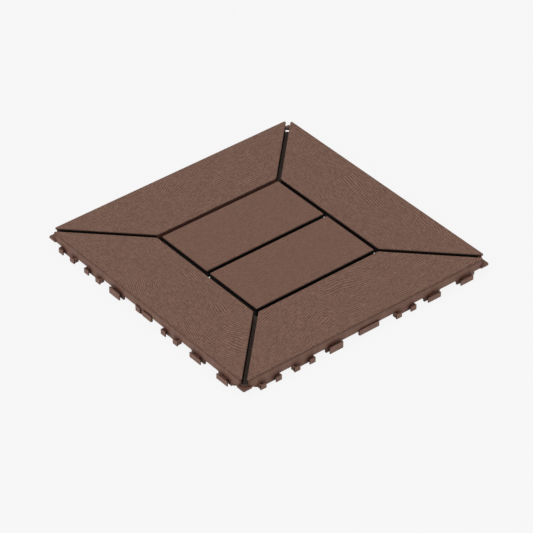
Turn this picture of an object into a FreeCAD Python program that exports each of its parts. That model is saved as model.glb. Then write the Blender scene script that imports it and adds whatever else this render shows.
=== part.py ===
import FreeCAD, Part
import math
import os

# Interlocking deck tile, standing on its feet.
# Origin at the middle of the tile, on the ground. X and Y run along the sides, +Z is up.

# Whole tile
tile_size = 300.0
tile_height = 16.0
skirt_height = 10.5
skirt_thickness = 2.0
skirt_setback = 0.3

# Boards: four mitred border boards round two centre planks
border_width = 75.0
slot_width = 4.5
cap_thickness = 2.5
lip_height = 1.6
edge_radius = 1.2
corner_radius = 0.8
tip_radius = 1.5
slot_wall = 1.6
slot_wall_height = 9.0

# Black channel that lines the slots
lining_wall = 0.8
lining_floor = 1.3
lining_depth = 9.8
lining_end_gap = 6.5
drain_half_length = 9.0

# Ribs and feet under the boards
rib_pitch = 30.0
rib_thickness = 1.4
rib_ground_gap = 2.0
rib_setback = 7.0
foot_every = 3
foot_first = 0
foot_length = 12.0

# Corner webs that tie the border boards together, and a diagonal wall below each of them
gusset_leg = 10.7
gusset_reach = 1.2
gusset_lift = 0.3
gusset_thickness = 1.8
gusset_radius = 0.4
gusset_tip_radius = 1.3
brace_leg = 16.4
brace_thickness = 1.8

# Connectors: their places run from left to right as the side is seen from outside,
# and each list names the end one, the inner one and the one beside the middle
front_sockets = [-120.2, -80.0, 44.2]
front_tabs = [121.3, 79.6, -42.1]
left_sockets = [-119.9, -78.5, 42.5]
left_tabs = [121.8, 81.8, -42.4]
root_width = 19.4
socket_width = 24.9
socket_mouth = 11.5
socket_reach = 3.25
tab_width = 15.8
tab_stem_width = 8.0
tab_reach = 3.4
hook_thickness = 1.2
connector_wall = 1.5

# The tab beside the middle and the pads stand higher than the skirt's lower edge, in front of it
tall_rise = 1.8
pad_width = 24.0
pad_reach = 1.05
pad_thickness = 0.8
pad_wall = 1.2
pad_ground_gap = 1.1

# The pads of the left and right sides are parted by a gap between these two places
pad_gap_start = -5.2
pad_gap_end = -0.9

# Overlap that makes pieces of the moulding run into each other
bite = 1.0

# Heights and places that follow from the sizes above
half_tile = tile_size / 2
half_inner = half_tile - border_width
skirt_bottom = tile_height - skirt_height
slot_wall_bottom = tile_height - slot_wall_height
cap_bottom = tile_height - cap_thickness
lip_bottom = tile_height - lip_height
lining_floor_top = tile_height - lining_depth
lining_bottom = lining_floor_top - lining_floor
skirt_face = half_tile - skirt_setback
rib_count = int(round(tile_size / rib_pitch))
rib_places = [(i - (rib_count - 1) / 2) * rib_pitch for i in range(rib_count)]
foot_places = rib_places[foot_first::foot_every]
outer_rib = rib_places[-1]


def box(x0, x1, y0, y1, z0, z1):
    """A box between two corners."""
    return Part.makeBox(x1 - x0, y1 - y0, z1 - z0, FreeCAD.Vector(x0, y0, z0))


def prism(points, z0, z1):
    """A flat polygon at height z0, raised to z1."""
    corners = [FreeCAD.Vector(x, y, z0) for x, y in points]
    face = Part.Face(Part.makePolygon(corners + corners[:1]))
    return face.extrude(FreeCAD.Vector(0, 0, z1 - z0))


def turned(shape, quarter):
    """A copy turned clockwise about the tile's middle by quarter turns."""
    copy = shape.copy()
    copy.rotate(FreeCAD.Vector(0, 0, 0), FreeCAD.Vector(0, 0, 1), -90 * quarter)
    return copy


def inset(points, amounts):
    """Move each side of an anticlockwise polygon inwards by its own amount."""
    lines = []
    for i, start in enumerate(points):
        end = points[(i + 1) % len(points)]
        length = math.hypot(end[0] - start[0], end[1] - start[1])
        along = ((end[0] - start[0]) / length, (end[1] - start[1]) / length)
        moved = (start[0] - along[1] * amounts[i], start[1] + along[0] * amounts[i])
        lines.append((moved, along))
    corners = []
    for i, (point, along) in enumerate(lines):
        before, before_along = lines[i - 1]
        cross = before_along[0] * along[1] - before_along[1] * along[0]
        gap = (point[0] - before[0], point[1] - before[1])
        reach = (gap[0] * along[1] - gap[1] * along[0]) / cross
        corners.append((before[0] + before_along[0] * reach, before[1] + before_along[1] * reach))
    return corners


def board_sides(outline, outer_amount, slot_amount):
    """The outline of a board, with its outer side and its slot sides set in."""
    points, outer_sides = outline
    amounts = [outer_amount if i in outer_sides else slot_amount for i in range(len(points))]
    return inset(points, amounts)


def upright_edges(shape):
    """The upright edges of a prism."""
    return [edge for edge in shape.Edges if abs(edge.tangentAt(edge.FirstParameter).z) > 0.9]


def rounded_board_corners(shape):
    """Round the upright edges of a board, with the sharp tips at the tile's corners rounder than the rest."""
    tip_line = -half_tile + slot_width
    rest = [edge for edge in upright_edges(shape) if edge.BoundBox.YMin > tip_line]
    shape = shape.makeFillet(corner_radius, rest)
    tips = [edge for edge in upright_edges(shape) if edge.BoundBox.YMin < tip_line]
    return shape.makeFillet(tip_radius, tips) if tips else shape


def rounded_top(shape, radius):
    """Round the edges round the top face of a prism."""
    top = shape.BoundBox.ZMax
    rim = [edge for edge in shape.Edges if edge.BoundBox.ZMin > top - 0.01]
    return shape.makeFillet(radius, rim)


# Board outlines run along the middle of the slots; the numbers name the sides on the tile's edge
border_outline = (
    [(-half_tile, -half_tile), (half_tile, -half_tile), (half_inner, -half_inner), (-half_inner, -half_inner)],
    [0],
)
plank_outline = (
    [(-half_inner, -half_inner), (half_inner, -half_inner), (half_inner, 0), (-half_inner, 0)],
    [],
)


def board(outline):
    """A board as a shell: a grained cap with a lip, and walls below it."""
    half_slot = slot_width / 2
    wall_face = half_slot + lining_wall
    cap = prism(board_sides(outline, 0, half_slot), lip_bottom, tile_height)
    cap = rounded_top(rounded_board_corners(cap), edge_radius)
    walls = prism(board_sides(outline, skirt_setback, wall_face), skirt_bottom, lip_bottom)
    walls = rounded_board_corners(walls)
    skirt_inside = skirt_setback + skirt_thickness
    hollow = prism(board_sides(outline, skirt_inside, wall_face + slot_wall), skirt_bottom, cap_bottom)
    trim = prism(board_sides(outline, skirt_inside, half_slot), skirt_bottom, slot_wall_bottom)
    return cap.fuse(walls).cut(hollow).cut(trim)


def boards():
    """All six boards in their places."""
    border = [turned(board(border_outline), quarter) for quarter in range(4)]
    plank = board(plank_outline)
    return border + [plank, turned(plank, 2)]


def slot_space(slot_amount, z0, z1):
    """The network of slots between the boards as a solid, at one width."""
    space = box(-half_tile, half_tile, -half_tile, half_tile, z0, z1)
    border = prism(board_sides(border_outline, 0, slot_amount), z0, z1)
    plank = prism(board_sides(plank_outline, 0, slot_amount), z0, z1)
    filled = [turned(border, quarter) for quarter in range(4)] + [plank, turned(plank, 2)]
    return space.cut(filled)


def ribs():
    """The lattice under the boards, which also bridges the slots below their lining."""
    deep = half_tile - rib_setback
    wide = skirt_face - skirt_thickness + bite
    half = rib_thickness / 2
    bars = []
    for place in rib_places:
        bars.append(box(place - half, place + half, -deep, deep, rib_ground_gap, skirt_bottom))
        bars.append(box(place - half, place + half, -wide, wide, skirt_bottom, cap_bottom))
        bars.append(box(-deep, deep, place - half, place + half, rib_ground_gap, skirt_bottom))
        bars.append(box(-wide, wide, place - half, place + half, skirt_bottom, cap_bottom))
    return bars


def feet():
    """Crosses below the lattice that stand on the ground."""
    arm = foot_length / 2
    half = rib_thickness / 2
    top = rib_ground_gap + bite
    crosses = []
    for x in foot_places:
        for y in foot_places:
            crosses.append(box(x - arm, x + arm, y - half, y + half, 0, top))
            crosses.append(box(x - half, x + half, y - arm, y + arm, 0, top))
    return crosses


def gusset():
    """The web that ties two border boards together at the front right corner."""
    tip = half_tile + gusset_reach
    outline = [(tip, -tip), (tip, -tip + gusset_leg), (tip - gusset_leg, -tip)]
    bottom = skirt_bottom + gusset_lift
    web = prism(outline, bottom, bottom + gusset_thickness)
    tip_line = 2 * tip - gusset_leg / 2
    ends = [edge for edge in upright_edges(web) if edge.BoundBox.XMax - edge.BoundBox.YMin < tip_line]
    web = web.makeFillet(gusset_radius, ends)
    tips = [edge for edge in upright_edges(web) if edge.BoundBox.XMax - edge.BoundBox.YMin > tip_line]
    return web.makeFillet(gusset_tip_radius, tips)


def brace():
    """The wall below the gusset, from one side to the other across the front right corner."""
    outer = half_tile - brace_leg
    inner = outer - brace_thickness * math.sqrt(2)
    outline = [(outer, -skirt_face), (skirt_face, -outer), (skirt_face, -inner), (inner, -skirt_face)]
    return prism(outline, rib_ground_gap, cap_bottom)


def root(place):
    """The wall below the skirt that carries a connector, as thick as the skirt."""
    half = root_width / 2
    return box(place - half, place + half, -skirt_face, -skirt_face + skirt_thickness, 0, skirt_bottom + bite)


def inward_rib(place, z0):
    """A rib from a connector to the outermost bar of the lattice."""
    half = connector_wall / 2
    return box(place - half, place + half, -skirt_face, -outer_rib, z0, skirt_bottom + bite)


def socket(place):
    """Two hooked prongs with a mouth between them, on the front side, on walls at the ends of their root."""
    face = -half_tile - socket_reach
    pieces = [root(place)]
    for side in (-1, 1):
        tip = place + side * socket_width / 2
        lip = place + side * socket_mouth / 2
        wall_outside = place + side * root_width / 2
        wall_inside = wall_outside - side * connector_wall
        pieces.append(box(min(tip, lip), max(tip, lip), face, face + hook_thickness, 0, skirt_bottom))
        wall = sorted((wall_outside, wall_inside))
        pieces.append(box(wall[0], wall[1], face, -skirt_face + bite, 0, skirt_bottom))
        pieces.append(inward_rib((wall_outside + wall_inside) / 2, 0))
    return pieces


def tab(place, rise):
    """A T on a stem, on the front side, which drops between the prongs of the next tile."""
    half = tab_width / 2
    half_stem = tab_stem_width / 2
    face = -half_tile - tab_reach
    pieces = [root(place)]
    pieces.append(box(place - half, place + half, face, face + hook_thickness, 0, skirt_bottom + rise))
    pieces.append(box(place - half_stem, place + half_stem, face, -skirt_face + bite, 0, skirt_bottom))
    for side in (-1, 1):
        pieces.append(inward_rib(place + side * (root_width - connector_wall) / 2, rib_ground_gap))
    return pieces


def pad(left, right):
    """A thin plate with closed ends, which stands off the skirt and meets the pad of the next tile."""
    face = -half_tile - pad_reach
    top = skirt_bottom + tall_rise
    pieces = [box(left, right, face, face + pad_thickness, pad_ground_gap, top)]
    for end in (left, right - pad_wall):
        pieces.append(box(end, end + pad_wall, face, -skirt_face + bite, pad_ground_gap, top))
    return pieces


def middle_pads(parted):
    """The pad in the middle of a side, in one piece or parted, and the wall that carries it."""
    half = pad_width / 2
    if parted:
        return [root(0)] + pad(-half, pad_gap_start) + pad(pad_gap_end, half)
    return [root(0)] + pad(-half, half)


def side_connectors(sockets, tabs, parted):
    """Everything below and outside the skirt on the front side."""
    pieces = middle_pads(parted)
    for place in sockets:
        pieces += socket(place)
    for place in tabs:
        rise = tall_rise if place == tabs[-1] else 0
        pieces += tab(place, rise)
    return pieces


def facing(places):
    """Where the side of the next tile has the connectors that meet these."""
    return [-place for place in places]


def tile_moulding():
    """The brown moulding in one piece."""
    sides = [
        side_connectors(front_sockets, front_tabs, False),
        side_connectors(left_sockets, left_tabs, True),
        side_connectors(facing(front_tabs), facing(front_sockets), False),
        side_connectors(facing(left_tabs), facing(left_sockets), True),
    ]
    under = ribs() + feet()
    for quarter, pieces in enumerate(sides):
        under += [turned(piece, quarter) for piece in pieces + [brace()]]
    under = under[0].multiFuse(under[1:])
    under = under.cut(slot_space(slot_width / 2 + lining_wall, lining_bottom, tile_height))
    over = boards() + [turned(gusset(), quarter) for quarter in range(4)]
    return under.multiFuse(over).removeSplitter()


def slot_lining():
    """The black channel along every slot, with drain openings where slots meet."""
    outside = slot_space(slot_width / 2 + lining_wall, lining_bottom, lip_bottom)
    inside = slot_space(slot_width / 2, lining_floor_top, lip_bottom)
    reach = 2 * (half_tile - lining_end_gap)
    diamond = prism([(reach, 0), (0, reach), (-reach, 0), (0, -reach)], lining_bottom, lip_bottom)
    channel = outside.cut(inside).common(diamond)
    seat = slot_width / 2 + lining_wall
    drains = []
    left, right = half_inner - drain_half_length, half_inner + drain_half_length
    front, back = -half_inner + seat, -half_inner + drain_half_length
    for quarter in (0, 2):
        middle = box(left, right, -drain_half_length, drain_half_length, lining_bottom, slot_wall_bottom)
        corner = box(left, right, front, back, lining_bottom, slot_wall_bottom)
        drains += [turned(middle, quarter), turned(corner, quarter)]
    return channel.cut(drains).removeSplitter()


os.makedirs("parts", exist_ok=True)
for name, shape in (("tile_moulding", tile_moulding()), ("slot_lining", slot_lining())):
    print(name, "solids", len(shape.Solids), "valid", shape.isValid(), "volume", round(shape.Volume))
    print("  box", shape.BoundBox, "faces", len(shape.Faces))
    shape.exportStep("parts/" + name + ".step")
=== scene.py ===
import math

import bmesh
import bpy
from mathutils import Matrix, Vector


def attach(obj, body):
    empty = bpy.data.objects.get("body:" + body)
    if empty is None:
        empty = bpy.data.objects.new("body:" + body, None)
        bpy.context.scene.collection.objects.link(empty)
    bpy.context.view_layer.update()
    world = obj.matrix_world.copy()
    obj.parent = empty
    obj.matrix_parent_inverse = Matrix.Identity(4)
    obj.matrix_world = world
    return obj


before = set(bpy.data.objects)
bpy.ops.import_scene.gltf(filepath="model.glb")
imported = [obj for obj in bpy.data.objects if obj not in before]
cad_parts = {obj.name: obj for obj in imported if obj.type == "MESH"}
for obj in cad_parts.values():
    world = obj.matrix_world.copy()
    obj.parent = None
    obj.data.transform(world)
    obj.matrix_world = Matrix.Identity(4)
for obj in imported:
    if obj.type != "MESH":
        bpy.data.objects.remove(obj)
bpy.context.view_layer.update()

# Camera, solved from the edges of the tile in the photograph
CAMERA_PLACE = (-1.38958, -1.70501, 1.67136)
CAMERA_TARGET = (-0.02461, -0.02860, 0.016)
CAMERA_LENS_MM = 192.708
SENSOR_MM = 36.0

# Boards and slots: the ring between borders and planks, half a slot's width, and heights above the ground
INNER_HALF = 0.075
SLOT_HALF = 0.00225
TOP = 0.016
EDGE_BOTTOM = 0.0148
LIP_BOTTOM = 0.0144
SLOT_FLOOR = 0.0062

# Sides, from the middle of the tile: the faces of the side walls, and where sides and connectors start
WALL_FACE = 0.1497
WALL_INSIDE = 0.1477
SIDE_START = 0.1490
CONNECTOR_START = 0.1505

# Sockets, whose outer ends get short walls: places from left to right on the front, left, back and right
SOCKET_PLACES = (
    (-0.1202, -0.0800, 0.0442),
    (-0.1199, -0.0785, 0.0425),
    (-0.1213, -0.0796, 0.0421),
    (-0.1218, -0.0818, 0.0424),
)
SOCKET_HALF = 0.01245
SOCKET_ROOT_HALF = 0.0097
SOCKET_FACE = 0.1531
END_WALL = 0.0015
END_WALL_BOTTOM = 0.0008
END_WALL_TOP = 0.0056

# Wood grain: the reach of its arches and the pitch of its lines in metres, and noise scales per metre
ARCH_REACH = 0.06
ARCHES_ALONG = 10.0
ARCHES_ACROSS = 9.0
LINE_PITCH = 0.0021
LINE_BREAK = 8.0
LINE_SWING = 0.15
FIBRES_ALONG = 260.0
FIBRES_ACROSS = 1300.0
PEBBLES = 1300.0
PEBBLE_SHARE = 0.45
SHIFT_OPPOSITE = 3.7
SHIFT_SIDES = 1.9

# How deep the grain is on each surface, as a share of the deepest, and how much it changes the colour
BORDER_DEPTH = 1.0
PLANK_DEPTH = 0.55
SIDE_DEPTH = 0.25
DEEPEST = 0.0006
FACES_UP = 0.6
MIDDLE_TONE = 0.5
TONE_SPREAD = 3.2

# Tones of the sides: shares of the paler brown of painted sheen, of the brown of painted shade in crevices
# and on the front web, and of the dark brown of a painted shadow line, and where they are
WALL_SHEEN = 0.2
CONNECTOR_SHEEN = 0.38
CREVICE_REACH = 0.007
CREVICE_SAMPLES = 12
CREVICE_POWER = 3.2
CREVICE_LEAST_UNSHADED = 0.22
WEB_START = 0.1437
WEB_TOP = 0.0095
WEB_SHADE = 0.38
SHADOW_LINE_HEIGHT = 0.0148
SHADOW_LINE_HALF = 0.0022
SHADOW_LINE_SHARE = 0.6

# Lining: heights between which painted light makes the walls of the side slots paler, how far each does,
# and its texture
PAINTED_LIGHT_START = 0.0133
PAINTED_LIGHT_END = 0.0105
PAINTED_LIGHT_LEFT = 1.0
PAINTED_LIGHT_RIGHT = 0.4
SPECKLES = 900.0
SPECKLE_DEPTH = 0.0001

# Finish: the roughness runs from the first value to the second as the noise rises
BROWN_ROUGHNESS = (0.55, 0.75)
BROWN_SPECULAR = 0.33
BLACK_ROUGHNESS = (0.7, 0.9)
BLACK_SPECULAR = 0.07

# How near a point counts as on an edge, on the slots' floor or on the far wall of the back slot
EDGE_SLACK = 0.0001
FLOOR_SLACK = 0.0003
FAR_WALL_SLACK = 0.0006

# A point's distance from a mitre is this share of the difference between its x and y
DIAGONAL = 0.7071

# Colours, as sRGB values from 0 to 255; the crevice and slot edge browns are painted shade, the pale side
# brown is painted sheen, the pale low black is painted light, and the dark brown serves the grain and a
# painted shadow line
BROWN = (110, 77, 62)
BROWN_DARK = (70, 42, 31)
BROWN_LIGHT = (150, 115, 99)
BROWN_PAINTED_SHADE = (62, 23, 9)
BROWN_SHEEN = (132, 104, 95)
SLOT_EDGE_SHADE = (32, 18, 13)
BLACK = (14, 12, 12)
BLACK_SPECK = (17, 15, 15)
BLACK_PAINTED_LIGHT = (62, 56, 54)
FAR_WALL_BROWN = (92, 58, 48)
BLACK_FLOOR = (102, 87, 80)
BLACK_FLOOR_SPECK = (116, 101, 94)
PAPER = (248, 248, 248)
PAPER_LIT = (235, 235, 235)
WHITE = (255, 255, 255)

# Floor: half its width, and how far it glows as paper, which leaves the rest to the tile's shadow
FLOOR_HALF = 6.0
FLOOR_GLOW = 0.94

# Light: the strength of the surround, and the place, width and watts of each lamp
SURROUND_STRENGTH = 0.62
LAMPS = (
    ("key", (-1.2, 0.6, 2.4), 1.2, 13.4),
    ("fill", (0.4, -2.2, 1.2), 1.6, 12.0),
    ("side", (-2.6, 0.5, 0.8), 1.5, 16.0),
)


def linear(colour):
    """A colour of 0 to 255 as linear values with full alpha."""
    parts = []
    for part in colour:
        part = part / 255
        parts.append(part / 12.92 if part <= 0.04045 else ((part + 0.055) / 1.055) ** 2.4)
    return (*parts, 1.0)


class Graph:
    """The nodes of a material or a world, made one by one."""

    def __init__(self, owner):
        owner.use_nodes = True
        self.tree = owner.node_tree
        self.tree.nodes.clear()

    def node(self, kind, **settings):
        made = self.tree.nodes.new(kind)
        for key, value in settings.items():
            setattr(made, key, value)
        return made

    def feed(self, socket, value):
        if isinstance(value, bpy.types.NodeSocket):
            self.tree.links.new(value, socket)
        else:
            socket.default_value = value

    def math(self, operation, *values):
        made = self.node("ShaderNodeMath", operation=operation)
        for socket, value in zip(made.inputs, values):
            self.feed(socket, value)
        return made.outputs[0]

    def blend(self, share, first, second, data_type="FLOAT"):
        made = self.node("ShaderNodeMix", data_type=data_type)
        self.feed(made.inputs["Factor"], share)
        self.feed(made.inputs["A"], first)
        self.feed(made.inputs["B"], second)
        return made.outputs["Result"]

    def mix(self, share, first, second):
        return self.blend(share, first, second, "RGBA")

    def fade(self, value, start, end, before=0.0, after=1.0, curve="LINEAR"):
        made = self.node("ShaderNodeMapRange", clamp=True, interpolation_type=curve)
        for socket, number in zip(made.inputs, (value, start, end, before, after)):
            self.feed(socket, number)
        return made.outputs[0]

    def split(self, vector):
        made = self.node("ShaderNodeSeparateXYZ")
        self.feed(made.inputs[0], vector)
        return made.outputs

    def vector(self, x, y, z):
        made = self.node("ShaderNodeCombineXYZ")
        for socket, value in zip(made.inputs, (x, y, z)):
            self.feed(socket, value)
        return made.outputs[0]

    def noise(self, place, scale=1.0, detail=2.0, roughness=0.6):
        made = self.node("ShaderNodeTexNoise")
        self.feed(made.inputs["Vector"], place)
        made.inputs["Scale"].default_value = scale
        made.inputs["Detail"].default_value = detail
        made.inputs["Roughness"].default_value = roughness
        return made.outputs[0]

    def bump(self, height, distance):
        made = self.node("ShaderNodeBump")
        made.inputs["Distance"].default_value = distance
        self.feed(made.inputs["Height"], height)
        return made.outputs[0]

    def plastic(self, colour, roughness, specular, normal):
        shader = self.node("ShaderNodeBsdfPrincipled")
        self.feed(shader.inputs["Base Color"], colour)
        self.feed(shader.inputs["Roughness"], roughness)
        self.feed(shader.inputs["Normal"], normal)
        shader.inputs["Specular IOR Level"].default_value = specular
        self.finish("ShaderNodeOutputMaterial", shader)

    def finish(self, kind, shader):
        output = self.node(kind)
        self.feed(output.inputs["Surface"], shader.outputs[0])


def wood_grain(graph, place, x, y, runs_along_y):
    """Lines in slow arches, broken up by fibres and mixed with a fine pebble, and the fibres alone."""
    along = graph.blend(runs_along_y, x, y)
    across = graph.blend(runs_along_y, y, x)

    # Opposite boards have other stretches of the grain, and so have the side ones
    shift = graph.math("MULTIPLY", graph.math("SIGN", across), SHIFT_OPPOSITE)
    shift = graph.math("ADD", shift, graph.math("MULTIPLY", runs_along_y, SHIFT_SIDES))

    arch_place = graph.vector(graph.math("MULTIPLY", along, ARCHES_ALONG),
                              graph.math("MULTIPLY", across, ARCHES_ACROSS), shift)
    arches = graph.noise(arch_place, roughness=0.5)
    bent = graph.math("ADD", across, graph.math("MULTIPLY", arches, ARCH_REACH))
    fibre_place = graph.vector(graph.math("MULTIPLY", along, FIBRES_ALONG),
                               graph.math("MULTIPLY", bent, FIBRES_ACROSS), shift)
    fibres = graph.noise(fibre_place)
    phase = graph.math("MULTIPLY", bent, 2 * math.pi / LINE_PITCH)
    phase = graph.math("MULTIPLY_ADD", fibres, LINE_BREAK, phase)
    lines = graph.math("MULTIPLY_ADD", graph.math("SINE", phase), LINE_SWING, MIDDLE_TONE)
    pebble = graph.noise(place, PEBBLES)
    return graph.blend(PEBBLE_SHARE, lines, pebble), fibres


def grain_colour(graph, grain, depth):
    """Brown that is darker in the valleys of the grain than on its ridges."""
    tone = graph.math("MULTIPLY", graph.math("SUBTRACT", grain, MIDDLE_TONE), depth)
    tone = graph.math("MULTIPLY_ADD", tone, TONE_SPREAD, MIDDLE_TONE)
    tone.node.use_clamp = True
    dark_side = graph.mix(graph.math("MULTIPLY", tone, 2.0), linear(BROWN_DARK), linear(BROWN))
    light_side = graph.mix(graph.math("MULTIPLY_ADD", tone, 2.0, -1.0), linear(BROWN), linear(BROWN_LIGHT))
    return graph.mix(graph.math("GREATER_THAN", tone, MIDDLE_TONE), dark_side, light_side)


def side_colour(graph, colour, x, y, z, farther):
    """Painted sheen on the side walls and connectors, painted shade in crevices and on the front corner's
    web, and a painted shadow line.
    """
    # Painted sheen: the side walls are drawn a little paler, and the connectors outside them more so
    outside = graph.math("GREATER_THAN", farther, SIDE_START)
    on_wall = graph.math("MULTIPLY", outside, graph.math("LESS_THAN", z, LIP_BOTTOM))
    on_connector = graph.math("GREATER_THAN", farther, CONNECTOR_START)
    sheen_share = graph.math("MAXIMUM", graph.math("MULTIPLY", on_wall, WALL_SHEEN),
                        graph.math("MULTIPLY", on_connector, CONNECTOR_SHEEN))
    colour = graph.mix(sheen_share, colour, linear(BROWN_SHEEN))

    # Painted shade darkens the corners above the connectors, by how closed in they are
    hollow = graph.node("ShaderNodeAmbientOcclusion", samples=CREVICE_SAMPLES, only_local=True)
    hollow.inputs["Distance"].default_value = CREVICE_REACH
    unshaded = graph.math("POWER", hollow.outputs["AO"], CREVICE_POWER)
    unshaded = graph.math("MAXIMUM", unshaded, CREVICE_LEAST_UNSHADED)
    unshaded = graph.math("MAXIMUM", unshaded, graph.math("GREATER_THAN", z, EDGE_BOTTOM))
    colour = graph.mix(unshaded, linear(BROWN_PAINTED_SHADE), colour)
    # Painted shade on the lower part of the front corner's web
    in_corner = graph.math("LESS_THAN", graph.math("MAXIMUM", x, y), -WEB_START)
    on_web = graph.math("MULTIPLY", in_corner, graph.math("LESS_THAN", z, WEB_TOP))
    colour = graph.mix(graph.math("MULTIPLY", on_web, WEB_SHADE), colour, linear(BROWN_PAINTED_SHADE))

    # A painted shadow line, in the grain's dark brown, runs below the boards' outer edge
    from_line = graph.math("ABSOLUTE", graph.math("SUBTRACT", z, SHADOW_LINE_HEIGHT))
    line = graph.fade(from_line, 0.0, SHADOW_LINE_HALF, SHADOW_LINE_SHARE, 0.0, "SMOOTHSTEP")
    return graph.mix(graph.math("MULTIPLY", line, outside), colour, linear(BROWN_DARK))


def slot_edge_shade(graph, colour, beside_x, beside_y, z, farther, is_border):
    """Painted shade: the boards' edges go dark down into the slots."""
    to_ring = graph.math("ABSOLUTE", graph.math("SUBTRACT", farther, INNER_HALF))
    to_mitre = graph.math("ABSOLUTE", graph.math("SUBTRACT", beside_x, beside_y))
    to_mitre = graph.math("MULTIPLY", to_mitre, DIAGONAL)
    to_slot = graph.math("MINIMUM", to_ring, graph.blend(is_border, beside_y, to_mitre))
    by_slot = graph.math("LESS_THAN", to_slot, SLOT_HALF + TOP - EDGE_BOTTOM)
    by_slot = graph.math("MULTIPLY", by_slot, graph.math("GREATER_THAN", z, LIP_BOTTOM - EDGE_SLACK))
    down = graph.fade(z, TOP - EDGE_SLACK, EDGE_BOTTOM)
    return graph.mix(graph.math("MULTIPLY", by_slot, down), colour, linear(SLOT_EDGE_SHADE))


def grained_plastic():
    """Matt brown plastic with wood grain pressed into the top of every board, and painted sheen and shade
    on its sides and slot edges.
    """
    material = bpy.data.materials.new("brown_plastic")
    graph = Graph(material)
    place = graph.node("ShaderNodeTexCoord").outputs["Object"]
    x, y, z = graph.split(place)

    # Which board a point is on
    beside_x = graph.math("ABSOLUTE", x)
    beside_y = graph.math("ABSOLUTE", y)
    farther = graph.math("MAXIMUM", beside_x, beside_y)
    is_border = graph.math("GREATER_THAN", farther, INNER_HALF)
    runs_along_y = graph.math("MULTIPLY", is_border, graph.math("GREATER_THAN", beside_x, beside_y))

    # Deep grain on the tops of the borders, less on the planks and little on the sides
    facing = graph.split(graph.node("ShaderNodeNewGeometry").outputs["Normal"])
    on_top = graph.math("MULTIPLY", graph.math("GREATER_THAN", facing[2], FACES_UP),
                        graph.math("GREATER_THAN", z, LIP_BOTTOM))
    depth = graph.blend(on_top, SIDE_DEPTH, graph.blend(is_border, PLANK_DEPTH, BORDER_DEPTH))
    grain, fibres = wood_grain(graph, place, x, y, runs_along_y)
    normal = graph.bump(graph.math("MULTIPLY", grain, depth), DEEPEST)

    colour = grain_colour(graph, grain, depth)
    colour = side_colour(graph, colour, x, y, z, farther)
    colour = slot_edge_shade(graph, colour, beside_x, beside_y, z, farther, is_border)
    graph.plastic(colour, graph.blend(fibres, *BROWN_ROUGHNESS), BROWN_SPECULAR, normal)
    return material


def lining_plastic():
    """Black plastic of the slot lining, with a fine moulded texture, painted light low on the side slots'
    walls, and a floor much paler than the walls.
    """
    material = bpy.data.materials.new("black_plastic")
    graph = Graph(material)
    place = graph.node("ShaderNodeTexCoord").outputs["Object"]
    x, y, z = graph.split(place)
    beside_x = graph.math("ABSOLUTE", x)
    beside_y = graph.math("ABSOLUTE", y)
    speckle = graph.noise(place, SPECKLES, detail=4.0)
    wall = graph.mix(speckle, linear(BLACK), linear(BLACK_SPECK))

    # Painted light: the walls of the left and right slots are paler lower down, the left more than the
    # right
    in_side_slot = graph.math("MULTIPLY", graph.math("LESS_THAN", beside_y, INNER_HALF - SLOT_HALF),
                              graph.math("GREATER_THAN", beside_x, INNER_HALF - 2 * SLOT_HALF))
    most = graph.blend(graph.math("LESS_THAN", x, 0.0), PAINTED_LIGHT_RIGHT, PAINTED_LIGHT_LEFT)
    painted_light = graph.math("MULTIPLY", graph.fade(z, PAINTED_LIGHT_START, PAINTED_LIGHT_END),
                       graph.math("MULTIPLY", in_side_slot, most))
    wall = graph.mix(painted_light, wall, linear(BLACK_PAINTED_LIGHT))

    # The far wall of the back slot is brown
    behind = graph.math("MULTIPLY", graph.math("COMPARE", y, INNER_HALF + SLOT_HALF, FAR_WALL_SLACK),
                        graph.math("LESS_THAN", beside_x, INNER_HALF))
    wall = graph.mix(behind, wall, linear(FAR_WALL_BROWN))

    # The floor is much paler than the walls
    floor = graph.mix(speckle, linear(BLACK_FLOOR), linear(BLACK_FLOOR_SPECK))
    colour = graph.mix(graph.math("LESS_THAN", z, SLOT_FLOOR + FLOOR_SLACK), wall, floor)
    normal = graph.bump(speckle, SPECKLE_DEPTH)
    graph.plastic(colour, graph.blend(speckle, *BLACK_ROUGHNESS), BLACK_SPECULAR, normal)
    return material


def seen_as_background(graph):
    """1 for what the camera sees, also in gloss and through glass, and 0 for what lights the object."""
    path = graph.node("ShaderNodeLightPath")
    passed_on = graph.math("MAXIMUM", path.outputs["Is Glossy Ray"], path.outputs["Is Transmission Ray"])
    return graph.math("MAXIMUM", path.outputs["Is Camera Ray"], passed_on)


def paper():
    """The pale ground, which the camera sees at the photograph's white with a faint shadow."""
    material = bpy.data.materials.new("paper")
    graph = Graph(material)
    lit = graph.node("ShaderNodeBsdfDiffuse")
    lit.inputs["Color"].default_value = linear(PAPER_LIT)
    glow = graph.node("ShaderNodeEmission")
    glow.inputs["Color"].default_value = linear(PAPER)
    both = graph.node("ShaderNodeMixShader")
    graph.feed(both.inputs[0], graph.math("MULTIPLY", seen_as_background(graph), FLOOR_GLOW))
    graph.feed(both.inputs[1], lit.outputs[0])
    graph.feed(both.inputs[2], glow.outputs[0])
    graph.finish("ShaderNodeOutputMaterial", both)
    return material


def add_floor():
    """A wide flat floor at the ground."""
    mesh = bpy.data.meshes.new("floor")
    corners = [(x * FLOOR_HALF, y * FLOOR_HALF, 0) for x, y in ((-1, -1), (1, -1), (1, 1), (-1, 1))]
    mesh.from_pydata(corners, [], [(0, 1, 2, 3)])
    mesh.materials.append(paper())
    floor = bpy.data.objects.new("floor", mesh)
    bpy.context.scene.collection.objects.link(floor)


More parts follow.
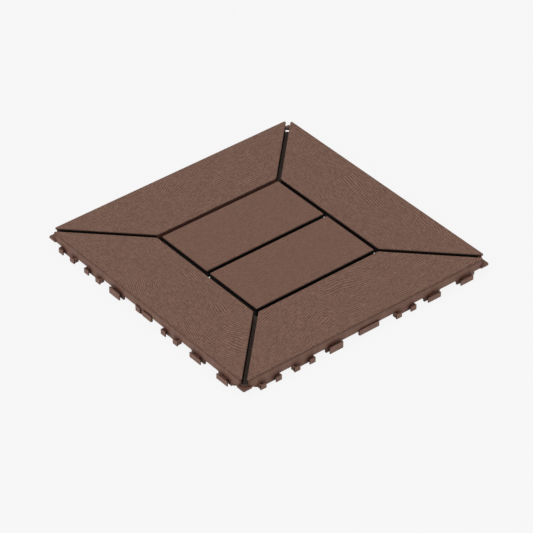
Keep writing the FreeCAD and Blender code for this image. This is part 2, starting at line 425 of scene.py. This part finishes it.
def add_world():
    """An even pale surround, which shows as the same white as the floor."""
    world = bpy.data.worlds.new("surround")
    graph = Graph(world)
    back = graph.node("ShaderNodeBackground")
    back.inputs["Color"].default_value = linear(WHITE)
    strength = graph.blend(seen_as_background(graph), SURROUND_STRENGTH, linear(PAPER)[0])
    graph.feed(back.inputs["Strength"], strength)
    graph.finish("ShaderNodeOutputWorld", back)
    bpy.context.scene.world = world


def add_lamp(name, place, width, watts):
    """A square soft lamp that looks at the tile."""
    data = bpy.data.lights.new(name, "AREA")
    data.shape = "SQUARE"
    data.size = width
    data.energy = watts
    lamp = bpy.data.objects.new(name, data)
    lamp.location = place
    lamp.rotation_euler = (-Vector(place)).to_track_quat("-Z", "Y").to_euler()
    bpy.context.scene.collection.objects.link(lamp)


def add_camera():
    """The camera at the photograph's place."""
    data = bpy.data.cameras.new("camera")
    data.sensor_width = SENSOR_MM
    data.lens = CAMERA_LENS_MM
    camera = bpy.data.objects.new("camera", data)
    place = Vector(CAMERA_PLACE)
    look = (Vector(CAMERA_TARGET) - place).to_track_quat("-Z", "Y")
    camera.matrix_world = Matrix.Translation(place) @ look.to_matrix().to_4x4()
    bpy.context.scene.collection.objects.link(camera)
    bpy.context.scene.camera = camera


def dress(node, material):
    """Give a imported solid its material."""
    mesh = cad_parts[node].data
    mesh.materials.clear()
    mesh.materials.append(material)


def end_walls(material):
    """The short walls that close the outer ends of every socket, as one mesh."""
    mesh = bmesh.new()
    for quarter, places in enumerate(SOCKET_PLACES):
        turn = Matrix.Rotation(-math.pi / 2 * quarter, 4, "Z")
        for place in places:
            for side in (-1, 1):
                outer = place + side * SOCKET_HALF
                inner = outer - side * END_WALL
                root = place + side * SOCKET_ROOT_HALF
                outline = [(outer, -SOCKET_FACE), (outer, -WALL_INSIDE), (root, -WALL_INSIDE),
                           (root, -WALL_FACE), (inner, -WALL_FACE), (inner, -SOCKET_FACE)]
                low = [mesh.verts.new(turn @ Vector((x, y, END_WALL_BOTTOM))) for x, y in outline]
                high = [mesh.verts.new(turn @ Vector((x, y, END_WALL_TOP))) for x, y in outline]
                mesh.faces.new(low)
                mesh.faces.new(high)
                for i in range(len(outline)):
                    after = (i + 1) % len(outline)
                    mesh.faces.new((low[i], low[after], high[after], high[i]))
    bmesh.ops.recalc_face_normals(mesh, faces=mesh.faces)
    data = bpy.data.meshes.new("socket_end_walls")
    mesh.to_mesh(data)
    mesh.free()
    data.materials.append(material)
    piece = bpy.data.objects.new("socket_end_walls", data)
    bpy.context.scene.collection.objects.link(piece)
    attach(piece, "root")


brown = grained_plastic()
dress("tile_moulding", brown)
dress("slot_lining", lining_plastic())
end_walls(brown)

add_floor()
add_world()
for lamp in LAMPS:
    add_lamp(*lamp)
add_camera()
bpy.context.scene.view_settings.view_transform = "Standard"
